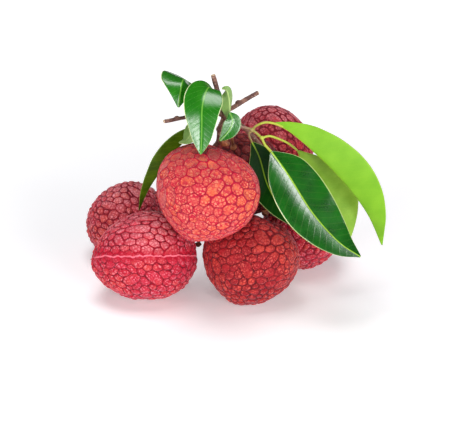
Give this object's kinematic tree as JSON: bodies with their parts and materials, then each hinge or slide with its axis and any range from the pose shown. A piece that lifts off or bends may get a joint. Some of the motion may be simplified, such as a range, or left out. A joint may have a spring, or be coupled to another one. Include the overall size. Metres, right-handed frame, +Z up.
{
  "type": "bunch of lychees",
  "caption": "Bunch of whole red lychees with bumpy skins on a cut woody twig, with glossy green leaves, resting as a heap.",
  "frame": {"origin": "centre of the bunch's footprint, on the surface it rests on", "axes": "+X to the right of the bunch seen from its front, +Y towards its back, +Z up"},
  "size_m": [0.113, 0.0953, 0.0889],
  "materials": {
    "fruit_skin": "matt bumpy rind, crimson between salmon plates",
    "leaf": "glossy dark green, pale midrib and margin",
    "leaf_underside": "soft satin light green underside",
    "bark": "rough brown bark, paler cut ends",
    "young_stalk": "smooth green-yellow to pinkish grey"
  },
  "bodies": {
    "root": {"fruit_top": "fruit_skin", "fruit_front_left": "fruit_skin", "fruit_back_left": "fruit_skin", "fruit_front_right": "fruit_skin", "fruit_back_right": "fruit_skin", "fruit_middle": "fruit_skin", "fruit_high_back": "fruit_skin", "leaf_right_arching": "leaf_underside", "leaf_right_behind": "leaf_underside", "leaf_front_long": "leaf", "leaf_shaded": "leaf", "leaf_front_hanging": "leaf", "leaf_top_left": "leaf", "leaf_pale_hanging": "leaf_underside", "leaf_above_nub": "leaf", "leaf_curled": "leaf_underside", "leaf_left_drooping": "leaf", "twig": "bark", "stalk_fruit_top": "bark", "stalk_fruit_front_left": "bark", "stalk_fruit_back_left": "bark", "stalk_fruit_front_right": "bark", "stalk_fruit_back_right": "bark", "stalk_fruit_middle": "bark", "stalk_fruit_high_back": "bark", "leaf_stalk": "young_stalk"}
  },
  "joints": []
}
